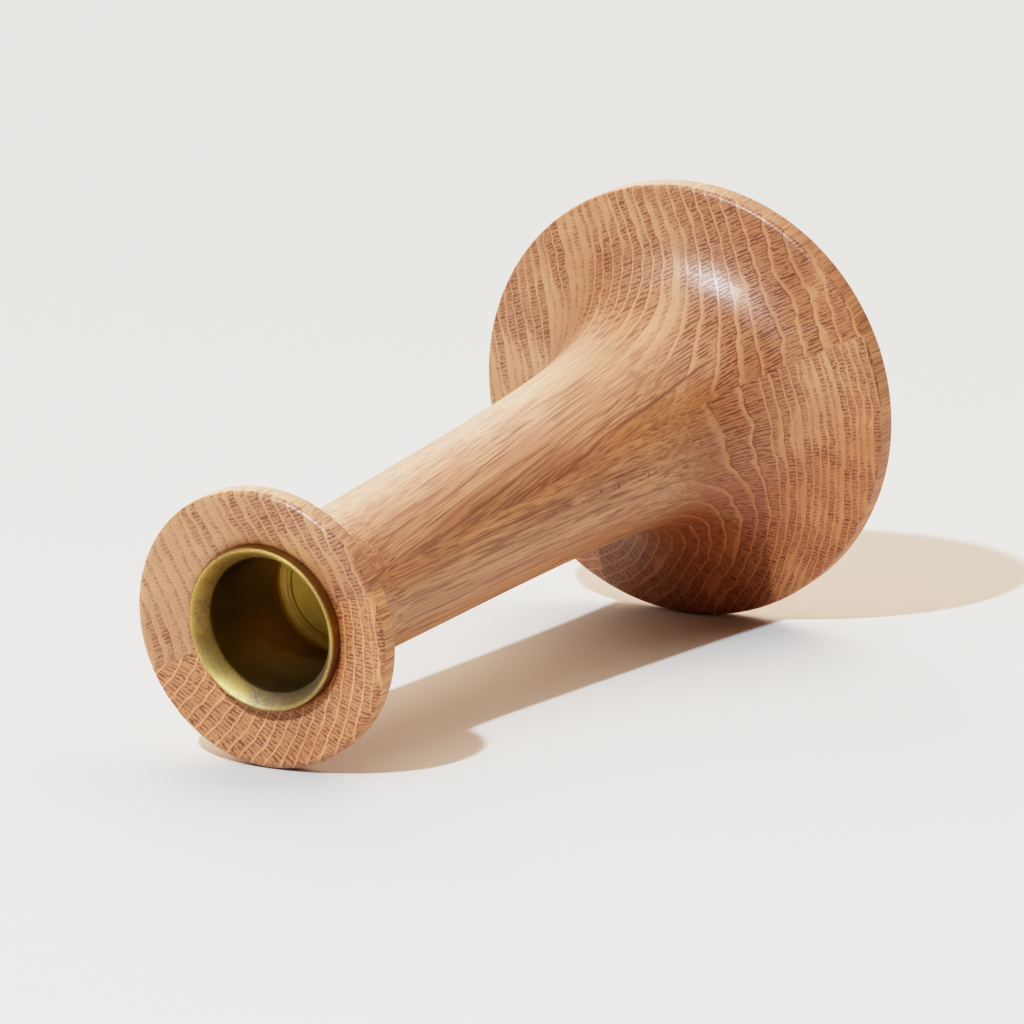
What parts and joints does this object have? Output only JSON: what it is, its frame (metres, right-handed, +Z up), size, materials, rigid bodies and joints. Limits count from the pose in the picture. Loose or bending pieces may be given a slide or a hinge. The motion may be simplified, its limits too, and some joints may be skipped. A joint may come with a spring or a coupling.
{
  "type": "candlestick",
  "caption": "Turned oak candlestick: trumpet foot, tapered stem, dished collar and a bell-mouthed brass cup for one dinner candle.",
  "frame": {"origin": "centre of the underside of the foot, on the turning axis", "axes": "+Z up the turning axis from the foot to the candle cup; the glue plane between the two boards is x = 0"},
  "size_m": [0.081, 0.081, 0.147],
  "materials": {
    "oak_left": "satin lacquered oak, end-grain growth rings on the foot and collar",
    "oak_right": "satin lacquered oak, second board with its rings turned against the first",
    "aged_brass": "aged and mottled brass, worn bright along the lip"
  },
  "bodies": {
    "root": {"oak_board_left": "oak_left", "oak_board_right": "oak_right", "candle_cup": "aged_brass"}
  },
  "joints": []
}
